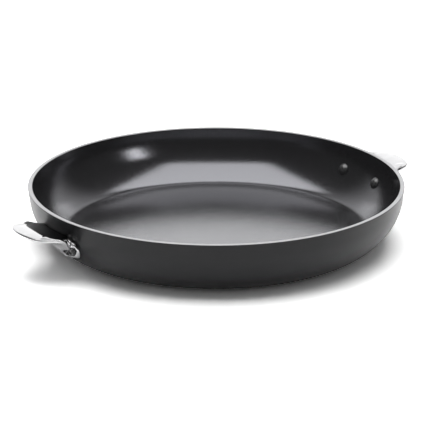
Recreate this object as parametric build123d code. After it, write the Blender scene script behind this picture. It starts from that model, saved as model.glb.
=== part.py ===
from build123d import *
import os
from math import asin, cos, degrees, radians, sin, sqrt, tan

# A round shallow pan with two riveted side handles. Millimetres and degrees.
# The origin is the centre of the resting face, +Z is up and the handles lie along +X and -X.

# Pan body
rim_radius = 160.0
pan_height = 52.0
wall_lean = 7.0
wall_thickness = 3.8
base_thickness = 8.5
outer_corner_radius = 48.0
inner_corner_radius = 48.0
inner_corner_sink = 5.0
floor_edge_radius = 15.0
rim_edge_round = 0.5

# Steel disc let into the underside
disc_radius = 98.0
disc_thickness = 1.2
disc_side_gap = 0.2
disc_groove_width = 1.6
disc_groove_depth = 0.4
disc_groove_count = 4

# Handle wing
handle_drop = 12.8
handle_tilt = 9.5
handle_reach = 32.0
handle_thickness = 2.6
handle_neck_width = 39.0
handle_width = 56.4
handle_flare = 11.0
handle_nose_radius = 46.0
handle_corner_radius = 10.0
handle_edge_round = 1.1

# Legs under the wing and pads against the wall
leg_spacing = 40.0
leg_standoff = 4.2
leg_foot_drop = 30.1
leg_rise = 43.0
leg_twist = 33.7
leg_width = 14.0
leg_foot_width = 9.5
leg_foot_length = 6.0
leg_taper_length = 10.0
leg_thickness = 3.6
leg_edge_round = 1.2
pad_radius = 7.6
pad_thickness = 2.6
spot_face_radius = 4.4
seat_clearance = 0.1

# Rivets
rivet_spacing = 48.5
rivet_drop = 22.8
rivet_head_radius = 5.1
rivet_head_height = 2.8
rivet_shank_radius = 2.5
rivet_hole_clearance = 0.1
rivet_tail_radius = 4.0
rivet_tail_height = 2.8
rivet_tail_round = 0.5
rivet_cup_radius = 2.2
rivet_cup_depth = 1.6

# Worked out from the sizes above
lean = radians(wall_lean)
wall_slope = tan(lean)
corner_tangent_height = outer_corner_radius * (1 - sin(lean))
corner_tangent_length = outer_corner_radius / tan(radians(90 + wall_lean) / 2)
corner_centre_radius = rim_radius - pan_height * wall_slope - corner_tangent_length
handle_tip = rim_radius + handle_reach
handle_height = pan_height - handle_drop
rivet_height = pan_height - rivet_drop
past = 10.0


def wall_radius(height):
    """Outer radius of the pan at a height."""
    if height >= corner_tangent_height:
        return rim_radius - (pan_height - height) * wall_slope
    return corner_centre_radius + sqrt(outer_corner_radius**2 - (outer_corner_radius - height) ** 2)


def wall_tilt(height):
    """How far the wall's outward normal points below the horizontal at a height."""
    if height >= corner_tangent_height:
        return wall_lean
    return degrees(asin((outer_corner_radius - height) / outer_corner_radius))


def bowl_outline(rim, floor, corner_radius, top):
    """Half of a round bowl's section, with the wall's lean and a rounded corner at its floor."""
    foot = rim - (pan_height - floor) * wall_slope
    mouth = rim + (top - pan_height) * wall_slope
    corners = [(0, floor), (foot, floor), (mouth, top), (0, top)]
    outline = make_face(Polyline(*corners, close=True))
    return fillet(outline.vertices().sort_by_distance((foot, floor))[0], corner_radius)


def pan_outside(grow=0.0):
    """The pan's outer shape, filled and grown by a distance."""
    outline = bowl_outline(rim_radius + grow / cos(lean), -grow, outer_corner_radius + grow, pan_height)
    return revolve(Plane.XZ * outline, Axis.Z)


def pan_inside(shrink=0.0):
    """The cavity, carried on above the rim, or what is left of it behind a clearance.

    The wide corner dips below the floor, and a smaller one joins it to the floor.
    """
    rim = rim_radius - (wall_thickness + shrink) / cos(lean)
    floor = base_thickness + shrink
    top = pan_height + past
    outline = bowl_outline(rim, floor - inner_corner_sink, inner_corner_radius - shrink, top)
    outline -= Pos(0, floor) * Rectangle(2 * rim_radius, 2 * past, align=(Align.CENTER, Align.MAX))
    edge = outline.vertices().group_by(Axis.Y)[0].sort_by(Axis.X)[-1]
    outline = fillet(edge, floor_edge_radius - shrink)
    return revolve(Plane.XZ * outline, Axis.Z)


def rivet_plane(side):
    """The plane on the outer wall at a rivet of the +X handle, its Z pointing out of the wall."""
    radius = wall_radius(rivet_height)
    tilt = radians(wall_tilt(rivet_height))
    turn = asin(side * rivet_spacing / 2 / radius)
    seat = (radius * cos(turn), radius * sin(turn), rivet_height)
    outward = (cos(tilt) * cos(turn), cos(tilt) * sin(turn), -sin(tilt))
    along = (-sin(turn), cos(turn), 0)
    return Plane(origin=seat, x_dir=along, z_dir=outward)


def rivet_hole(side):
    radius = rivet_shank_radius + rivet_hole_clearance
    return rivet_plane(side) * Cylinder(radius, 4 * past)


def pan_shell():
    shell = pan_outside() - pan_inside()
    rim_edges = shell.edges().filter_by(GeomType.CIRCLE).group_by(Axis.Z)[-1]
    return fillet(rim_edges, min(rim_edge_round, 0.4 * wall_thickness))


def pan_body():
    pocket_radius = disc_radius + disc_side_gap
    pocket = Cylinder(pocket_radius, disc_thickness, align=(Align.CENTER, Align.CENTER, Align.MIN))
    body = pan_shell() - pocket
    for turn in (0, 180):
        for side in (-1, 1):
            body -= Rot(0, 0, turn) * rivet_hole(side)
    return body


def induction_disc():
    """Flat disc with evenly spaced ring grooves in its lower face."""
    disc = Cylinder(disc_radius, disc_thickness, align=(Align.CENTER, Align.CENTER, Align.MIN))
    pitch = disc_radius / (disc_groove_count + 1)
    for ring in range(disc_groove_count):
        middle = pitch * (ring + 1)
        groove = Cylinder(middle + disc_groove_width / 2, 2 * disc_groove_depth)
        groove -= Cylinder(middle - disc_groove_width / 2, 2 * disc_groove_depth)
        disc -= groove
    return disc


def tilted(shape):
    """Tilts a shape about the line where the wing's top meets the wall."""
    root = wall_radius(handle_height)
    return Pos(root, 0, handle_height) * Rot(0, -handle_tilt, 0) * Pos(-root, 0, 0) * shape


def wing():
    """The wing before it is cut to the wall: a neck that widens to a blade with a curved nose."""
    root = wall_radius(handle_height)
    inner = root - past
    half = [
        (inner, handle_neck_width / 2),
        (root, handle_neck_width / 2),
        (root + handle_flare, handle_width / 2),
        (handle_tip, handle_width / 2),
    ]
    corners = half + [(x, -y) for x, y in reversed(half)]
    nose = Pos(handle_tip - handle_nose_radius, 0) * Circle(handle_nose_radius)
    outline = make_face(Polyline(*corners, close=True)) & nose
    tips = outline.vertices().sort_by(Axis.X)[-2:]
    outline = fillet(tips, handle_corner_radius)
    blank = extrude(outline, -handle_thickness)
    free_edges = blank.edges().filter_by(lambda edge: edge.center().X > inner + 1)
    free_edges = free_edges.filter_by(Axis.Z, reverse=True)
    blank = fillet(free_edges, min(handle_edge_round, 0.45 * handle_thickness))
    return tilted(blank)


def leg(side):
    """Leg from the pad's foot up to the wing: a strap that widens upwards and faces out and down."""
    rise, twist = radians(leg_rise), radians(leg_twist)
    lowest = pan_height - leg_foot_drop
    foot = (wall_radius(rivet_height) + leg_standoff, leg_spacing / 2, lowest)
    run = Vector(cos(rise), 0, sin(rise))
    upright = Vector(-sin(rise), 0, cos(rise))
    wide = Vector(0, 1, 0) * cos(twist) + upright * sin(twist)
    length = 2 * handle_reach
    corners = [
        (-length, 0),
        (length, 0),
        (length, leg_width),
        (leg_foot_length + leg_taper_length, leg_width),
        (leg_foot_length, leg_foot_width),
        (-length, leg_foot_width),
    ]
    strap = extrude(make_face(Polyline(*corners, close=True)), leg_thickness)
    strap = fillet(strap.edges().filter_by(Axis.Z, reverse=True), min(leg_edge_round, 0.3 * leg_thickness))
    strap = Plane(origin=foot, x_dir=run, z_dir=run.cross(wide)) * strap
    above = Box(2 * rim_radius, rim_radius, 2 * length, align=(Align.CENTER, Align.CENTER, Align.MIN))
    strap -= tilted(Pos(handle_tip, 0, -handle_thickness / 2) * above)
    strap &= Pos(rim_radius, 0, lowest) * above
    return strap if side > 0 else mirror(strap, Plane.XZ)


def pad(side):
    """Pad that lies on the wall round one rivet and runs up to the wing."""
    reach_up = (rivet_drop - handle_drop) / cos(radians(wall_tilt(rivet_height)))
    shoulder = side * (handle_neck_width - rivet_spacing) / 2
    corners = [(shoulder, reach_up), (-side * pad_radius, reach_up), (0, 0)]
    blank = make_hull(Polyline(*corners, close=True).edges() + Circle(pad_radius).edges())
    prism = rivet_plane(side) * extrude(blank, past, both=True)
    skin = pan_outside(seat_clearance + pad_thickness)
    return prism & skin


def spot_face(side):
    """Room for the rivet's tail, from the pad's face outwards."""
    low = (Align.CENTER, Align.CENTER, Align.MIN)
    start = Pos(0, 0, seat_clearance + pad_thickness)
    return rivet_plane(side) * start * Cylinder(spot_face_radius, 2 * past, align=low)


def handle():
    """The +X handle in one piece, cut to the wall and drilled for its rivets."""
    body = wing()
    for side in (-1, 1):
        body += leg(side)
        body += pad(side)
    body -= pan_outside(seat_clearance)
    for side in (-1, 1):
        body -= spot_face(side)
        body -= rivet_hole(side)
    return body


def rivet(side, shell, cavity):
    """Domed head formed to the inner wall, shank through wall and pad, cupped tail outside."""
    plane = rivet_plane(side)
    axis = Axis(plane.origin, plane.z_dir)
    depths = sorted(plane.to_local_coords(point).Z for point, normal in shell.find_intersection_points(axis))
    inner = depths[-2]
    outer = pad_thickness + 2 * seat_clearance
    low = (Align.CENTER, Align.CENTER, Align.MIN)
    ball_radius = (rivet_head_radius**2 + rivet_head_height**2) / (2 * rivet_head_height)
    ball = plane * Pos(0, 0, inner - rivet_head_height + ball_radius) * Sphere(ball_radius)
    head = ball & cavity & plane * Pos(0, 0, inner) * Cylinder(rivet_head_radius, 2 * rivet_head_height)
    root = inner - 2 * seat_clearance
    shank = Pos(0, 0, root) * Cylinder(rivet_shank_radius, outer - root, align=low)
    tail = Cylinder(rivet_tail_radius, rivet_tail_height, align=low)
    tail = fillet(tail.edges().group_by(Axis.Z)[-1], rivet_tail_round)
    cup = Cylinder(rivet_cup_radius, rivet_cup_depth, align=low)
    tail -= Pos(0, 0, rivet_tail_height - rivet_cup_depth) * cup
    return head + plane * (shank + Pos(0, 0, outer) * tail)


def write(name, shape):
    export_step(shape, f"parts/{name}.step")


os.makedirs("parts", exist_ok=True)
write("pan_body", pan_body())
write("induction_disc", induction_disc())

right_handle = handle()
bare_shell = pan_shell()
free_cavity = pan_inside(seat_clearance)
for turn, end in ((0, "right"), (180, "left")):
    write(f"{end}_handle", Rot(0, 0, turn) * right_handle)
    for side in (-1, 1):
        place = "front" if (side < 0) == (turn == 0) else "rear"
        write(f"{end}_handle_{place}_rivet", Rot(0, 0, turn) * rivet(side, bare_shell, free_cavity))
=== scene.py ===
import math
import bpy
import numpy as np
from mathutils import Matrix, Vector


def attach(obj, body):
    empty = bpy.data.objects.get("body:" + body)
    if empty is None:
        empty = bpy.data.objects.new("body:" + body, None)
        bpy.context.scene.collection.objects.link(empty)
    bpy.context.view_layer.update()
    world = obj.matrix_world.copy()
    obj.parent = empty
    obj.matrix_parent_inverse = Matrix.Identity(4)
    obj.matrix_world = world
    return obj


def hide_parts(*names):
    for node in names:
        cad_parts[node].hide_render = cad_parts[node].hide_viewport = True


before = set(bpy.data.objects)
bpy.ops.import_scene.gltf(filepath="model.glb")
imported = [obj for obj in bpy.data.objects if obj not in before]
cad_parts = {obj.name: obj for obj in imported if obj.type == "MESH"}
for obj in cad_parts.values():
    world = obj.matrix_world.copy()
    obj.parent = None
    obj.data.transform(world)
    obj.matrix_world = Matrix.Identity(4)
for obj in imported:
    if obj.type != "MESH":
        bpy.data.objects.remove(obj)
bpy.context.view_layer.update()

# The looks of a two-handled pan. Lengths are in millimetres until a mesh is made, and then in metres.
# The frame is the CAD part's own: the resting face's centre, +Z up, the handles along +X and -X.

MM = 0.001

# Pan body
rim_radius = 160.0
pan_height = 52.0
wall_lean = math.radians(7.0)
wall_thickness = 3.8
base_thickness = 8.5
outer_corner_radius = 48.0
inner_corner_radius = 48.0
inner_corner_sink = 5.0
floor_edge_radius = 15.0
rim_outer_round = 0.5
rim_inner_round = 0.45
disc_radius = 98.0
disc_thickness = 1.2
disc_side_gap = 0.2
disc_pocket_bevel = 0.3
wall_slope = math.tan(wall_lean)
turning_steps = 360
shell_sharp_bend = 40
underside_margin = 1.0

# Wing of the handle: its outline as (distance from the pan's axis, half width) along its top face
wing_height = 39.2
wing_tilt = math.radians(9.5)
wing_tip = 192.0
wing_thickness = 2.6
wing_outline = [
    (130.0, -60.0),
    (130.0, 18.5),
    (158.0, 19.5),
    (163.0, 24.2),
    (168.0, 27.8),
    (182.0, 28.4),
    (215.0, 28.4),
    (215.0, -60.0),
]
wing_nose_radius = 46.0
wing_corner_radius = 10.0
wing_edge_round = 0.85
wing_arch = 0.0007
lip_start = 174.0
lip_bend = 0.006
lip_thin_start = 180.0
lip_thin_rate = 0.05
lip_thin_most = 0.45
roll_start = (178.0, 14.0)
roll_end = (167.0, 27.0)
roll_bend = 0.004

# Leg under each side of the wing: its outline as (distance along it, distance across it)
leg_foot = (159.4, 20.0, 21.9)
leg_rise = math.radians(43.0)
leg_twist = math.radians(33.7)
leg_outline = [(-20.0, 0.0), (60.0, 0.0), (60.0, 14.0), (16.0, 14.0), (6.0, 9.5), (-20.0, 9.5)]
leg_thickness = 3.4
leg_lowest = 22.0
leg_edge_round = 1.3
leg_foot_round = 1.5
leg_top_sink = 0.5
leg_top_round = 1.0

# Pad against the wall: its outline as (distance along the wall, distance up it) from the rivet
pad_radius = 7.6
pad_outline = [(0.0, -5.0), (-7.4, -1.5), (-9.5, 9.2), (-3.0, 9.2), (6.4, 4.1)]
pad_thickness = 2.6
pad_edge_round = 0.9
seat_clearance = 0.1
spot_face_radius = 4.4
spot_face_edge_round = 0.5
leg_cove = 4.0
pad_cove = 6.5

# Rivets
rivet_spacing = 48.5
rivet_height = 29.2
rivet_hole_radius = 2.6
rivet_shank_radius = 2.5
rivet_head_seat = -5.0
rivet_head_radius = 5.1
rivet_head_height = 2.8
rivet_head_skirt = 0.5
rivet_head_edge_inset = 0.03
rivet_head_edge_drop = 0.12
rivet_head_edge_rise = 0.05
rivet_dome_steps = 15
rivet_tail_radius = 4.0
rivet_tail_height = 2.8
rivet_tail_round = 0.5
rivet_tail_bevel = 0.2
rivet_cup_radius = 2.2
rivet_cup_depth = 1.6
rivet_cup_round = 0.25
rivet_cup_bevel = 0.3
rivet_cup_cone_radius = 0.9
rivet_cup_cone_height = 0.35
rivet_turning_steps = 48
rivet_sharp_bend = 38

# Skin of the right handle: the box it is sought in, its cells, and how it is drawn onto the surface
skin_low = (150.0, -36.0, 19.0)
skin_high = (193.0, 36.3, 45.5)
skin_cell = 0.6
skin_pulls = 4
skin_pull_most = 0.5
least_slope = 0.2
slope_step = 0.02
normal_step = 0.25


def bowl_corner(rim, floor, radius):
    """Centre of the rounded corner between a leaning wall and a flat floor."""
    height = floor + radius
    reach = rim - (pan_height - floor) * wall_slope
    return reach - radius / math.tan((math.pi / 2 + wall_lean) / 2), height


outer_centre = bowl_corner(rim_radius, 0.0, outer_corner_radius)
inner_rim = rim_radius - wall_thickness / math.cos(wall_lean)
inner_centre = bowl_corner(inner_rim, base_thickness - inner_corner_sink, inner_corner_radius)


def wall_radius(height):
    """Outer radius of the pan at a height within its rounded corner."""
    return outer_centre[0] + math.sqrt(outer_corner_radius**2 - (outer_corner_radius - height) ** 2)


def arc(centre, radius, start, end, steps):
    """Points on an arc between two angles in degrees."""
    found = []
    for step in range(steps + 1):
        angle = math.radians(start + (end - start) * step / steps)
        found.append((centre[0] + radius * math.cos(angle), centre[1] + radius * math.sin(angle)))
    return found


def wall_line(rim, low, top, steps):
    """Points up a leaning wall, above its lowest height."""
    heights = [low + (top - low) * step / steps for step in range(1, steps + 1)]
    return [(rim - (pan_height - height) * wall_slope, height) for height in heights]


def outside_line(start, top):
    """Points of the pan's outside: its flat underside from a radius, the corner and the wall."""
    reach = outer_centre[0] - start
    points = [(start + reach * step / 3, 0.0) for step in range(3)]
    points += arc(outer_centre, outer_corner_radius, -90, -math.degrees(wall_lean), 40)
    return points + wall_line(rim_radius, points[-1][1], top, 10)


def cavity_line(top):
    """Points of the cavity: flat floor, a small corner beside it, the main corner and the wall."""
    drop = inner_centre[1] - base_thickness - floor_edge_radius
    reach = math.sqrt((inner_corner_radius - floor_edge_radius) ** 2 - drop**2)
    edge = (inner_centre[0] + reach, base_thickness + floor_edge_radius)
    meet = math.degrees(math.atan2(drop, reach))
    points = [(edge[0] * step / 14, base_thickness) for step in range(14)]
    points += arc(edge, floor_edge_radius, -90, -meet, 10)[:-1]
    points += arc(inner_centre, inner_corner_radius, -meet, -math.degrees(wall_lean), 34)
    return points + wall_line(inner_rim, points[-1][1], top, 10)


def new_object(name, verts, faces, smooth=True):
    mesh = bpy.data.meshes.new(name)
    mesh.from_pydata([tuple(v) for v in verts], [], faces)
    mesh.update()
    if smooth:
        mesh.shade_smooth()
    obj = bpy.data.objects.new(name, mesh)
    bpy.context.scene.collection.objects.link(obj)
    return obj


def lathe(name, profile, count, kinds=None):
    """Turns a closed outline of (radius, height) about Z. Points on the axis become one vertex."""
    verts, rings = [], []
    for radius, height in profile:
        if radius < 1e-6:
            rings.append([len(verts)])
            verts.append((0.0, 0.0, height * MM))
            continue
        ring = []
        for step in range(count):
            angle = 2 * math.pi * step / count
            ring.append(len(verts))
            verts.append((radius * math.cos(angle) * MM, radius * math.sin(angle) * MM, height * MM))
        rings.append(ring)
    faces, slots = [], []
    for index in range(len(rings)):
        low, high = rings[index], rings[(index + 1) % len(rings)]
        if len(low) == 1 and len(high) == 1:
            continue
        for step in range(count):
            after = (step + 1) % count
            if len(low) == 1:
                faces.append((low[0], high[after], high[step]))
            elif len(high) == 1:
                faces.append((low[step], low[after], high[0]))
            else:
                faces.append((low[step], low[after], high[after], high[step]))
            slots.append(kinds[index] if kinds else 0)
    obj = new_object(name, verts, faces)
    obj.data.polygons.foreach_set("material_index", slots)
    return obj


def sharpen(obj, degrees_limit):
    """Marks as sharp each edge that bends more than an angle, so that flats stay flat."""
    obj.data.set_sharp_from_angle(angle=math.radians(degrees_limit))


# Node helpers

grain_rise = 1.3


class Nodes:
    """A short way to write a material's node tree."""

    def __init__(self, name):
        self.material = bpy.data.materials.new(name)
        self.material.use_nodes = True
        self.tree = self.material.node_tree
        self.shader = self.tree.nodes["Principled BSDF"]

    def add(self, kind, **values):
        """A new node with some of its settings given by name."""
        node = self.tree.nodes.new(kind)
        for key, value in values.items():
            setattr(node, key, value)
        return node

    def link(self, source, target):
        self.tree.links.new(source, target)

    def feed(self, node, values):
        """Gives a node's inputs, in order, a number or another node's output."""
        for socket, value in zip(node.inputs, values):
            if isinstance(value, (int, float)):
                socket.default_value = value
            else:
                self.link(value, socket)
        return node.outputs[0]

    def math(self, operation, first, second=0.0):
        return self.feed(self.add("ShaderNodeMath", operation=operation), (first, second))

    def vector(self, x, y, z):
        return self.feed(self.add("ShaderNodeCombineXYZ"), (x, y, z))

    def point(self):
        """The point on the piece in metres."""
        return self.add("ShaderNodeTexCoord").outputs["Object"]

    def place(self):
        """The point on the piece in metres, as X, Y and Z."""
        split = self.add("ShaderNodeSeparateXYZ")
        self.link(self.point(), split.inputs[0])
        return split.outputs

    def noise(self, vector, scale, detail, rough):
        node = self.add("ShaderNodeTexNoise")
        self.link(vector, node.inputs["Vector"])
        node.inputs["Scale"].default_value = scale
        node.inputs["Detail"].default_value = detail
        node.inputs["Roughness"].default_value = rough
        return node.outputs[0]

    def spread(self, value, low, high, to_low, to_high):
        """Maps a range onto another and holds it at the ends."""
        node = self.add("ShaderNodeMapRange")
        self.link(value, node.inputs["Value"])
        for key, number in zip(("From Min", "From Max", "To Min", "To Max"), (low, high, to_low, to_high)):
            node.inputs[key].default_value = number
        return node.outputs[0]

    def colour(self, value, first, second):
        """A colour between two, by a value from 0 to 1."""
        node = self.add("ShaderNodeMix", data_type="RGBA")
        self.link(value, node.inputs["Factor"])
        node.inputs["A"].default_value = (*first, 1.0)
        node.inputs["B"].default_value = (*second, 1.0)
        return node.outputs["Result"]

    def bump(self, height, strength, distance, below=None):
        node = self.add("ShaderNodeBump")
        node.inputs["Strength"].default_value = strength
        node.inputs["Distance"].default_value = distance
        self.link(height, node.inputs["Height"])
        if below is not None:
            self.link(below, node.inputs["Normal"])
        return node.outputs[0]

    def set(self, **values):
        names = {
            "metallic": "Metallic",
            "ior": "IOR",
            "specular": "Specular IOR Level",
            "tint": "Specular Tint",
        }
        for key, value in values.items():
            self.shader.inputs[names[key]].default_value = value

    def finish(self, colour, roughness=None, normal=None):
        self.link(colour, self.shader.inputs["Base Color"])
        if roughness is not None:
            self.link(roughness, self.shader.inputs["Roughness"])
        if normal is not None:
            self.link(normal, self.shader.inputs["Normal"])
        return self.material


def turned(nodes, fine, across):
    """Coordinates for lines that run round the pan: short across them and long along them.

    Height counts beside the radius, so that the lines go on up the wall.
    """
    x, y, z = nodes.place()
    squares = nodes.math("ADD", nodes.math("MULTIPLY", x, x), nodes.math("MULTIPLY", y, y))
    radius = nodes.math("SQRT", squares)
    safe = nodes.math("MAXIMUM", radius, 0.0005)
    level = nodes.math("ADD", radius, nodes.math("MULTIPLY", z, grain_rise))
    cosine = nodes.math("MULTIPLY", nodes.math("DIVIDE", x, safe), across)
    sine = nodes.math("MULTIPLY", nodes.math("DIVIDE", y, safe), across)
    return nodes.vector(cosine, sine, nodes.math("MULTIPLY", level, fine))


def anodised():
    """Dark hard-anodised aluminium: satin, with a dull spun grain, fine pores and faint rubbed patches."""
    n = Nodes("dark_anodised")
    point = n.point()
    clouds = n.noise(point, 28.0, 4.0, 0.55)
    pores = n.noise(point, 2600.0, 2.0, 0.6)
    grain = n.noise(turned(n, 2400.0, 22.0), 1.0, 2.0, 0.55)
    tone = n.math("ADD", n.math("MULTIPLY", clouds, 0.6), n.math("MULTIPLY", grain, 0.4))
    tone = n.spread(tone, 0.35, 0.65, 0.0, 1.0)
    colour = n.colour(tone, (0.0078, 0.0078, 0.0090), (0.0122, 0.0122, 0.0136))
    rough = n.spread(clouds, 0.3, 0.7, 0.31, 0.37)
    normal = n.bump(pores, 0.12, 0.0002)
    normal = n.bump(grain, 0.05, 0.0002, normal)
    n.set(specular=0.2)
    return n.finish(colour, rough, normal)


def coated():
    """Dark smooth non-stick coat: a slight orange peel, fine bright flecks and faint rub marks."""
    n = Nodes("dark_coat")
    point = n.point()
    peel = n.noise(point, 950.0, 2.0, 0.6)
    flecks = n.noise(point, 3200.0, 1.0, 0.5)
    clouds = n.noise(point, 22.0, 3.0, 0.5)
    bright = n.spread(flecks, 0.66, 0.74, 0.0, 1.0)
    colour = n.colour(bright, (0.017, 0.017, 0.0175), (0.07, 0.07, 0.072))
    rough = n.spread(clouds, 0.3, 0.7, 0.14, 0.17)
    normal = n.bump(peel, 0.22, 0.0003)
    n.set(ior=2.16, tint=(0.93, 0.935, 1.0, 1.0))
    return n.finish(colour, rough, normal)


def machined():
    """Bare machined rim: fine turning rings and a few brighter lines."""
    n = Nodes("machined_rim")
    rings = n.noise(turned(n, 5200.0, 9.0), 1.0, 2.0, 0.6)
    colour = n.colour(n.spread(rings, 0.35, 0.65, 0.0, 1.0), (0.25, 0.25, 0.257), (0.36, 0.36, 0.367))
    normal = n.bump(rings, 0.25, 0.0002)
    n.set(metallic=1.0)
    return n.finish(colour, n.spread(rings, 0.3, 0.7, 0.30, 0.42), normal)


def spun():
    """Steel disc in the base, spun in fine rings and a little scuffed."""
    n = Nodes("spun_steel")
    rings = n.noise(turned(n, 2600.0, 5.0), 1.0, 3.0, 0.65)
    point = n.point()
    clouds = n.noise(point, 40.0, 4.0, 0.6)
    tone = n.math("ADD", n.math("MULTIPLY", clouds, 0.4), n.math("MULTIPLY", rings, 0.6))
    colour = n.colour(n.spread(tone, 0.35, 0.65, 0.0, 1.0), (0.46, 0.46, 0.465), (0.62, 0.62, 0.625))
    normal = n.bump(rings, 0.3, 0.0002)
    n.set(metallic=1.0)
    return n.finish(colour, n.spread(tone, 0.3, 0.7, 0.26, 0.42), normal)


def polished():
    """Mirror-polished steel: almost even, with a soft waviness and hair scratches."""
    n = Nodes("polished_steel")
    point = n.point()
    x, y, z = n.place()
    stretched = [n.math("MULTIPLY", value, scale) for value, scale in ((x, 60.0), (y, 2600.0), (z, 300.0))]
    hair = n.noise(n.vector(*stretched), 1.0, 2.0, 0.5)
    smudge = n.noise(point, 90.0, 3.0, 0.5)
    colour = n.colour(n.spread(smudge, 0.35, 0.65, 0.0, 1.0), (0.40, 0.40, 0.405), (0.44, 0.44, 0.445))
    rough = n.math("ADD", n.spread(smudge, 0.4, 0.75, 0.045, 0.10), n.spread(hair, 0.62, 0.75, 0.0, 0.05))
    normal = n.bump(n.noise(point, 160.0, 1.0, 0.4), 0.04, 0.0003)
    n.set(metallic=1.0)
    return n.finish(colour, rough, normal)


def rivet_dark():
    """Dark coated rivet steel, slightly worn where it stands proud."""
    n = Nodes("dark_rivet")
    point = n.point()
    fine = n.noise(point, 900.0, 3.0, 0.5)
    colour = n.colour(n.spread(fine, 0.4, 0.7, 0.0, 1.0), (0.028, 0.028, 0.029), (0.05, 0.05, 0.051))
    n.set(ior=1.8)
    return n.finish(colour, n.spread(fine, 0.3, 0.7, 0.24, 0.34), n.bump(fine, 0.08, 0.0002))


# Pan shell


def pan_profile():
    """The shell's closed outline: the underside from its middle, the outside, the rim and the inside.

    Each stretch of it has a kind: 0 for the anodised outside, 1 for the bare rim, 2 for the coat.
    """
    pocket = disc_radius + disc_side_gap
    points, kinds = [], []

    def take(found, kind):
        points.extend(found)
        kinds.extend([kind] * len(found))

    take([(0.0, disc_thickness), (pocket * 0.5, disc_thickness), (pocket, disc_thickness)], 0)
    take([(pocket, disc_pocket_bevel), (pocket + disc_pocket_bevel, 0.0)], 0)
    outer_top = pan_height - rim_outer_round
    take(outside_line(pocket + underside_margin, outer_top)[:-1], 0)
    lean = math.degrees(wall_lean)
    outer_round = (rim_radius - rim_outer_round, pan_height - rim_outer_round)
    take(arc(outer_round, rim_outer_round, -lean, 35, 3), 0)
    take(arc(outer_round, rim_outer_round, 50, 90, 3), 1)
    inner_round = (inner_rim + rim_inner_round, pan_height - rim_inner_round)
    take([(rim_radius - wall_thickness / 2, pan_height)], 1)
    take(arc(inner_round, rim_inner_round, 90, 135, 3), 1)
    take(arc(inner_round, rim_inner_round, 150, 180 - lean, 2), 2)
    inside = cavity_line(pan_height - rim_inner_round)
    take(inside[:-1][::-1], 2)
    return points, kinds


def rivet_frame(turn, side):
    """Matrix of a rivet on the outer wall: X along the wall, Z out of it, in millimetres."""
    radius = wall_radius(rivet_height)
    tilt = math.asin((outer_corner_radius - rivet_height) / outer_corner_radius)
    swing = math.asin(side * rivet_spacing / 2 / radius)
    seat = Vector((radius * math.cos(swing), radius * math.sin(swing), rivet_height))
    out = Vector((math.cos(tilt) * math.cos(swing), math.cos(tilt) * math.sin(swing), -math.sin(tilt)))
    along = Vector((-math.sin(swing), math.cos(swing), 0.0))
    up = out.cross(along)
    matrix = Matrix((along, up, out)).transposed().to_4x4()
    matrix.translation = seat
    return Matrix.Rotation(turn, 4, "Z") @ matrix


def place_mm(obj, matrix):
    """Bakes a placement given in millimetres into a mesh whose points are in metres."""
    moved = matrix.copy()
    moved.translation = matrix.translation * MM
    obj.data.transform(moved)
    obj.data.update()


def make_shell():
    """The pan itself, with its three surfaces."""
    points, kinds = pan_profile()
    shell = lathe("pan_shell", points, turning_steps, kinds)
    sharpen(shell, shell_sharp_bend)
    for material in (anodised(), machined(), coated()):
        shell.data.materials.append(material)
    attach(shell, "root")
    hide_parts("pan_body")


# Handles


def polygon_distance(px, py, corners):
    """Signed distance to a polygon, negative inside it."""
    best = np.full(px.shape, 1e9)
    sign = np.ones(px.shape)
    count = len(corners)
    for index in range(count):
        ax, ay = corners[index]
        bx, by = corners[index - 1]
        ex, ey = bx - ax, by - ay
        wx, wy = px - ax, py - ay
        share = np.clip((wx * ex + wy * ey) / (ex * ex + ey * ey), 0, 1)
        dx, dy = wx - ex * share, wy - ey * share
        best = np.minimum(best, dx * dx + dy * dy)
        first = (py >= ay) & (py < by) & (ex * wy > ey * wx)
        second = (py < ay) & (py >= by) & (ex * wy < ey * wx)
        sign = np.where(first | second, -sign, sign)
    return sign * np.sqrt(best)


def rounded_both(first, second, radius):
    """Intersection of two solids with its edge rounded."""
    inside = np.minimum(np.maximum(first + radius, second + radius), 0)
    return inside + np.hypot(np.maximum(first + radius, 0), np.maximum(second + radius, 0)) - radius


def blended(first, second, radius):
    """Union of two solids with a soft cove between them."""
    share = np.maximum(radius - np.abs(first - second), 0) / radius
    return np.minimum(first, second) - share**3 * radius / 6


def pan_distance(x, t, z):
    """Distance from the pan's outside, positive in the open."""
    radius = np.hypot(x, t)
    dx, dz = radius - outer_centre[0], z - outer_centre[1]
    wall = (radius - (rim_radius - (pan_height - z) * wall_slope)) * math.cos(wall_lean)
    corner = np.hypot(dx, dz) - outer_corner_radius
    return np.where(dz * math.cos(wall_lean) + dx * math.sin(wall_lean) < 0, corner, wall)


def wing_depth(x, t, z):
    """Where a point lies along the wing, and its height over the top face.

    The top face is arched a little, and it rolls down at the lip and at the corners.
    """
    root = wall_radius(wing_height)
    cosine, sine = math.cos(wing_tilt), math.sin(wing_tilt)
    along = (x - root) * cosine + (z - wing_height) * sine + root
    depth = (z - wing_height) * cosine - (x - root) * sine
    across = np.abs(t)
    length = math.hypot(roll_end[0] - roll_start[0], roll_end[1] - roll_start[1])
    nx, ny = (roll_end[1] - roll_start[1]) / length, (roll_start[0] - roll_end[0]) / length
    past = np.maximum((along - roll_start[0]) * nx + (across - roll_start[1]) * ny, 0)
    lip = lip_bend * np.maximum(along - lip_start, 0) ** 2
    return along, depth + roll_bend * past**2 + lip + wing_arch * across**2


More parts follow.
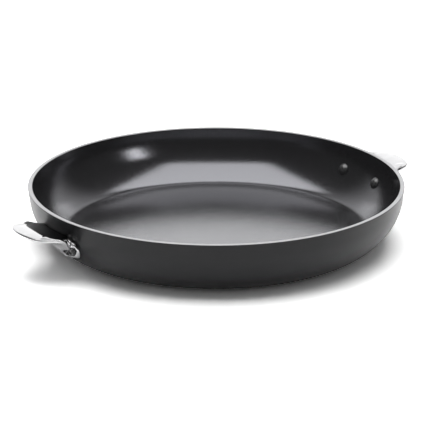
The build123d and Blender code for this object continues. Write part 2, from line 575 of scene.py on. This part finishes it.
def wing_distance(x, t, z):
    """The wing: a thin plate with rounded edges, narrower where it meets the wall."""
    along, depth = wing_depth(x, t, z)
    across = np.abs(t)
    sides = polygon_distance(along, across, wing_outline)
    nose = np.hypot(along - (wing_tip - wing_nose_radius), across) - wing_nose_radius
    outline = rounded_both(sides, nose, wing_corner_radius)
    half = wing_thickness / 2 - np.clip(lip_thin_rate * (along - lip_thin_start), 0, lip_thin_most)
    slab = np.abs(depth + half) - half
    return rounded_both(outline, slab, wing_edge_round)


def leg_distance(x, t, z):
    """The leg under one side of the wing: a strap that widens upwards from the pad."""
    run = np.array((math.cos(leg_rise), 0.0, math.sin(leg_rise)))
    upright = np.array((-math.sin(leg_rise), 0.0, math.cos(leg_rise)))
    wide = math.cos(leg_twist) * np.array((0.0, 1.0, 0.0)) + math.sin(leg_twist) * upright
    face = np.cross(wide, run)
    off = [x - leg_foot[0], np.abs(t) - leg_foot[1], z - leg_foot[2]]
    ahead, side, depth = [sum(off[i] * axis[i] for i in range(3)) for axis in (run, wide, face)]
    slab = np.abs(depth + leg_thickness / 2) - leg_thickness / 2
    strap = rounded_both(slab, polygon_distance(ahead, side, leg_outline), leg_edge_round)
    strap = rounded_both(strap, leg_lowest - z, leg_foot_round)
    return rounded_both(strap, wing_depth(x, t, z)[1] + leg_top_sink, leg_top_round)


def from_rivet(x, t, z):
    """A point's place seen from the nearer rivet: along the wall, up it and out of it."""
    matrix = rivet_frame(0.0, 1).inverted()
    across = np.abs(t)
    return [row[0] * x + row[1] * across + row[2] * z + row[3] for row in matrix[:3]]


def pad_distance(x, t, z):
    """The pad on the wall round one rivet."""
    along, up, out = from_rivet(x, t, z)
    outline = np.minimum(polygon_distance(along, up, pad_outline), np.hypot(along, up) - pad_radius)
    skin = pan_distance(x, t, z) - seat_clearance - pad_thickness
    return rounded_both(outline, skin, pad_edge_round)


def spot_face_distance(x, t, z):
    """The flat cut round the rivet's tail, which starts at the pad's face."""
    along, up, out = from_rivet(x, t, z)
    return np.maximum(np.hypot(along, up) - spot_face_radius, pad_thickness + seat_clearance - out)


def hole_distance(x, t, z):
    """The hole for the rivet's shank."""
    along, up, out = from_rivet(x, t, z)
    return np.hypot(along, up) - rivet_hole_radius


def handle_distance(x, t, z):
    """The whole handle, with soft coves between its parts, cut to the wall and drilled."""
    body = blended(wing_distance(x, t, z), leg_distance(x, t, z), leg_cove)
    body = blended(body, pad_distance(x, t, z), pad_cove)
    body = rounded_both(body, -spot_face_distance(x, t, z), spot_face_edge_round)
    body = np.maximum(body, seat_clearance - pan_distance(x, t, z))
    return np.maximum(body, -hole_distance(x, t, z))


def slopes(distance, points, step):
    """Gradient of a distance at points, by small differences."""
    found = np.empty_like(points)
    for axis in range(3):
        shift = np.zeros(3)
        shift[axis] = step
        high = distance(*(points + shift).T)
        low = distance(*(points - shift).T)
        found[:, axis] = (high - low) / (2 * step)
    return found


def skin_of(distance, low, high, step):
    """Surface net of a distance: one vertex per crossed cell, drawn onto the surface, and quads between."""
    axes = [np.arange(low[i], high[i] + step, step) for i in range(3)]
    grid = np.meshgrid(*axes, indexing="ij")
    value = distance(*grid)
    inside = value < 0
    nx, ny, nz = (s - 1 for s in value.shape)
    total = np.zeros((nx, ny, nz, 3))
    count = np.zeros((nx, ny, nz))
    offsets = [(i, j, k) for i in (0, 1) for j in (0, 1) for k in (0, 1)]
    for first in offsets:
        for axis in range(3):
            if first[axis]:
                continue
            second = tuple(1 if i == axis else first[i] for i in range(3))
            a = value[first[0] : first[0] + nx, first[1] : first[1] + ny, first[2] : first[2] + nz]
            b = value[second[0] : second[0] + nx, second[1] : second[1] + ny, second[2] : second[2] + nz]
            crossed = (a < 0) != (b < 0)
            share = np.where(crossed, a / np.where(crossed, a - b, 1), 0)
            for i in range(3):
                total[..., i] += np.where(crossed, first[i] + (share if i == axis else 0), 0)
            count += crossed
    used = count > 0
    index = np.full((nx, ny, nz), -1)
    index[used] = np.arange(used.sum())
    cells = np.argwhere(used)
    points = np.array(low) + (cells + total[used] / count[used][:, None]) * step
    faces = []
    for axis in range(3):
        one, two = [i for i in range(3) if i != axis]
        ahead = [slice(None)] * 3
        behind = [slice(None)] * 3
        ahead[axis], behind[axis] = slice(1, None), slice(None, -1)
        change = inside[tuple(behind)] != inside[tuple(ahead)]
        for spot in np.argwhere(change):
            if not all(1 <= spot[i] < value.shape[i] - 1 for i in (one, two)):
                continue
            quad = []
            for a, b in ((1, 1), (0, 1), (0, 0), (1, 0)):
                cell = list(spot)
                cell[one] -= a
                cell[two] -= b
                quad.append(index[tuple(cell)])
            outward = inside[tuple(spot)]
            if axis == 1:
                outward = not outward
            faces.append(quad if outward else quad[::-1])
    for _ in range(skin_pulls):
        slope = slopes(distance, points, slope_step)
        size = np.maximum((slope**2).sum(1), least_slope)
        shift = (distance(*points.T) / size)[:, None] * slope
        length = np.linalg.norm(shift, axis=1)
        shift *= np.minimum(1, skin_pull_most * step / np.maximum(length, 1e-9))[:, None]
        points = points - shift
    return points, faces


def make_handles(material):
    """Both handles from one skin, the left one turned half a turn about Z."""
    step = skin_cell
    points, faces = skin_of(handle_distance, skin_low, skin_high, step)
    normals = slopes(handle_distance, points, normal_step)
    normals /= np.maximum(np.linalg.norm(normals, axis=1), 1e-9)[:, None]
    for name, turn in (("right_handle_forging", 1), ("left_handle_forging", -1)):
        spin = np.array((turn, turn, 1.0))
        obj = new_object(name, points * spin * MM, faces)
        obj.data.materials.append(material)
        obj.data.normals_split_custom_set_from_vertices((normals * spin).tolist())
        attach(obj, "root")
        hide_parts(name.replace("_forging", ""))


# Rivets


def rivet_outline():
    """Closed outline of a rivet: domed head inside, shank, and a flat tail with a drilled cup outside."""
    seat = rivet_head_seat
    ball = (rivet_head_radius**2 + rivet_head_height**2) / (2 * rivet_head_height)
    sweep = math.asin(rivet_head_radius / ball)
    lowest = seat - rivet_head_height
    points = [(0.0, lowest)]
    for step in range(1, rivet_dome_steps):
        angle = sweep * step / rivet_dome_steps
        points.append((ball * math.sin(angle), lowest + ball * (1 - math.cos(angle))))
    points += [(rivet_head_radius - rivet_head_edge_inset, seat - rivet_head_edge_drop)]
    points += [(rivet_head_radius, seat + rivet_head_edge_rise)]
    points += [(rivet_head_radius, seat + rivet_head_skirt), (rivet_shank_radius, seat + rivet_head_skirt)]
    outer = pad_thickness + 2 * seat_clearance
    top = outer + rivet_tail_height
    points += [(rivet_shank_radius, outer), (rivet_tail_radius - rivet_tail_bevel, outer)]
    points += [(rivet_tail_radius, outer + rivet_tail_bevel)]
    shoulder = (rivet_tail_radius - rivet_tail_round, top - rivet_tail_round)
    points += arc(shoulder, rivet_tail_round, 0, 90, 5)
    points += arc((rivet_cup_radius + rivet_cup_round, top - rivet_cup_round), rivet_cup_round, 90, 180, 3)
    floor = top - rivet_cup_depth
    points += [(rivet_cup_radius, floor + rivet_cup_bevel), (rivet_cup_radius - rivet_cup_bevel, floor)]
    points += [(rivet_cup_cone_radius, floor), (0.0, floor + rivet_cup_cone_height)]
    return points


def make_rivets(material):
    """All four rivets, turned from one outline."""
    outline = rivet_outline()
    for turn, end in ((0.0, "right"), (math.pi, "left")):
        for side in (-1, 1):
            place = "front" if (side < 0) == (turn == 0.0) else "rear"
            node = f"{end}_handle_{place}_rivet"
            obj = lathe(node + "_turned", outline, rivet_turning_steps)
            sharpen(obj, rivet_sharp_bend)
            place_mm(obj, rivet_frame(turn, side))
            obj.data.materials.append(material)
            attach(obj, "root")
            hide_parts(node)


# Base disc


def dress_disc():
    """The disc stays the plain solid and only gets its finish."""
    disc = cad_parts["induction_disc"]
    disc.data.materials.clear()
    disc.data.materials.append(spun())


# Stage, light and camera. Their lengths are in metres, along the photograph's own axes.

photo_turn = math.radians(-32.8)
photo_tilt = math.radians(18.31)
camera_distance = 2.4
camera_sensor_width = 36.0
camera_lens = 240.26
camera_shift = (-0.0112, -0.0689)
target = Vector((0.0, 0.0, pan_height * MM))
aimed_height = 0.04

floor_half_size = 9.0
floor_tone = (0.93, 0.93, 0.93, 1.0)
floor_tone_seen = (1.95, 1.95, 1.95, 1.0)

backdrop_side_edge = (0.35, 0.80)
backdrop_top_edge = (0.66, 0.80)
backdrop_strength = 0.95
room_strength = 0.05
fill_strength = 0.25

softbox_place = (-0.03, 0.055, 1.5)
softbox_size = (1.70, 1.77)
softbox_radiance = 2.2
softbox_shine = 3.0
backdrop_place = (0.0, 3.0, 0.95)
backdrop_size = (4.2, 1.7)
backdrop_shine = 0.64
window_place = (2.09, -1.37, 1.0)
window_size = (0.42, 0.95)
window_shine = 4.1


def photo_to_frame(x, y, z):
    """A point in the photograph's own axes, X right, Y away and Z up, given in the part's frame."""
    return Matrix.Rotation(photo_turn, 4, "Z") @ Vector((x, y, z))


def aim(obj, place, at):
    """Puts an object at a place and turns its front to a point."""
    obj.location = place
    obj.rotation_euler = (Vector(at) - Vector(place)).to_track_quat("-Z", "Y").to_euler()


def area_light(name, place, size, radiance):
    """A rectangular soft lamp that faces the pan, and whose face has a given radiance."""
    light = bpy.data.lights.new(name, "AREA")
    light.shape = "RECTANGLE"
    light.size, light.size_y = size
    light.energy = radiance * 4 * size[0] * size[1]
    obj = bpy.data.objects.new(name, light)
    bpy.context.scene.collection.objects.link(obj)
    obj.visible_camera = False
    aim(obj, photo_to_frame(*place), (0.0, 0.0, aimed_height))
    return obj


def join(tree, operation, first, second):
    """One number from two node outputs, such as their product or the larger of them."""
    node = tree.nodes.new("ShaderNodeMath")
    node.operation = operation
    tree.links.new(first, node.inputs[0])
    tree.links.new(second, node.inputs[1])
    return node.outputs[0]


def smooth_step(tree, source, edge, before, after):
    """Runs smoothly from one value to another while its source crosses an edge."""
    step = tree.nodes.new("ShaderNodeMapRange")
    step.interpolation_type = "SMOOTHSTEP"
    for key, value in zip(("From Min", "From Max", "To Min", "To Max"), (*edge, before, after)):
        step.inputs[key].default_value = value
    tree.links.new(source, step.inputs["Value"])
    return step.outputs[0]


def white_light(tree, strength):
    """A white background of a strength."""
    node = tree.nodes.new("ShaderNodeBackground")
    node.inputs["Color"].default_value = (1.0, 1.0, 1.0, 1.0)
    node.inputs["Strength"].default_value = strength
    return node


def choice(tree, switch, off, on):
    """One of two shaders, by a switch."""
    node = tree.nodes.new("ShaderNodeMixShader")
    tree.links.new(switch, node.inputs["Fac"])
    tree.links.new(off.outputs[0], node.inputs[1])
    tree.links.new(on.outputs[0], node.inputs[2])
    return node


def make_floor():
    """A plain pale floor. The camera and the reflections see it paler than its light on the pan is."""
    size = floor_half_size
    verts = [(-size, -size, 0), (size, -size, 0), (size, size, 0), (-size, size, 0)]
    floor = new_object("studio_floor", verts, [(0, 1, 2, 3)], smooth=False)
    material = bpy.data.materials.new("studio_floor")
    material.use_nodes = True
    tree = material.node_tree
    tree.nodes.clear()
    out = tree.nodes.new("ShaderNodeOutputMaterial")
    diffuse = tree.nodes.new("ShaderNodeBsdfDiffuse")
    path = tree.nodes.new("ShaderNodeLightPath")
    seen = join(tree, "MAXIMUM", path.outputs["Is Camera Ray"], path.outputs["Is Glossy Ray"])
    shade = tree.nodes.new("ShaderNodeMix")
    shade.data_type = "RGBA"
    shade.inputs["A"].default_value = floor_tone
    shade.inputs["B"].default_value = floor_tone_seen
    tree.links.new(seen, shade.inputs["Factor"])
    tree.links.new(shade.outputs["Result"], diffuse.inputs["Color"])
    tree.links.new(diffuse.outputs[0], out.inputs["Surface"])
    floor.data.materials.append(material)


def make_world():
    """White for the camera. In reflections, a white backdrop behind the pan and a dim room in front."""
    world = bpy.data.worlds.new("studio")
    bpy.context.scene.world = world
    world.use_nodes = True
    tree = world.node_tree
    tree.nodes.clear()
    coordinate = tree.nodes.new("ShaderNodeTexCoord")
    turn = tree.nodes.new("ShaderNodeVectorRotate")
    turn.rotation_type = "Z_AXIS"
    turn.inputs["Angle"].default_value = -photo_turn
    split = tree.nodes.new("ShaderNodeSeparateXYZ")
    tree.links.new(coordinate.outputs["Generated"], turn.inputs["Vector"])
    tree.links.new(turn.outputs[0], split.inputs[0])
    behind = smooth_step(tree, split.outputs["Y"], backdrop_side_edge, 0.0, 1.0)
    below = smooth_step(tree, split.outputs["Z"], backdrop_top_edge, 1.0, 0.0)
    level = tree.nodes.new("ShaderNodeMath")
    level.operation = "MULTIPLY_ADD"
    level.inputs[1].default_value = backdrop_strength
    level.inputs[2].default_value = room_strength
    tree.links.new(join(tree, "MULTIPLY", behind, below), level.inputs[0])
    room = white_light(tree, 1.0)
    tree.links.new(level.outputs[0], room.inputs["Strength"])
    path = tree.nodes.new("ShaderNodeLightPath").outputs
    shine = choice(tree, path["Is Glossy Ray"], white_light(tree, fill_strength), room)
    seen = join(tree, "MAXIMUM", path["Is Camera Ray"], path["Is Transmission Ray"])
    both = choice(tree, seen, shine, white_light(tree, 1.0))
    out = tree.nodes.new("ShaderNodeOutputWorld")
    tree.links.new(both.outputs[0], out.inputs["Surface"])


def gloss_only(obj):
    """Lets a lamp show only in reflections, so that plain colours keep their level."""
    obj.visible_diffuse = False
    obj.visible_transmission = False
    obj.visible_volume_scatter = False


def make_lights():
    """A softbox over the pan, a backdrop behind it and a window to its right."""
    lamps = (("overhead_softbox", softbox_radiance), ("overhead_softbox_shine", softbox_shine))
    for name, radiance in lamps:
        box = area_light(name, softbox_place, softbox_size, radiance)
        box.rotation_euler = (0.0, 0.0, photo_turn)
        if name.endswith("shine"):
            gloss_only(box)
    gloss_only(area_light("backdrop_shine", backdrop_place, backdrop_size, backdrop_shine))
    gloss_only(area_light("side_window_shine", window_place, window_size, window_shine))


def make_camera():
    """The camera fitted to the photograph."""
    camera = bpy.data.cameras.new("camera")
    camera.sensor_width = camera_sensor_width
    camera.lens = camera_lens
    camera.shift_x, camera.shift_y = camera_shift
    obj = bpy.data.objects.new("camera", camera)
    bpy.context.scene.collection.objects.link(obj)
    back = photo_to_frame(0.0, -math.cos(photo_tilt), math.sin(photo_tilt))
    aim(obj, target + back * camera_distance, target)
    bpy.context.scene.camera = obj


make_floor()
make_world()
make_lights()
make_camera()
make_shell()
make_handles(polished())
make_rivets(rivet_dark())
dress_disc()

bpy.context.scene.view_settings.view_transform = "Standard"
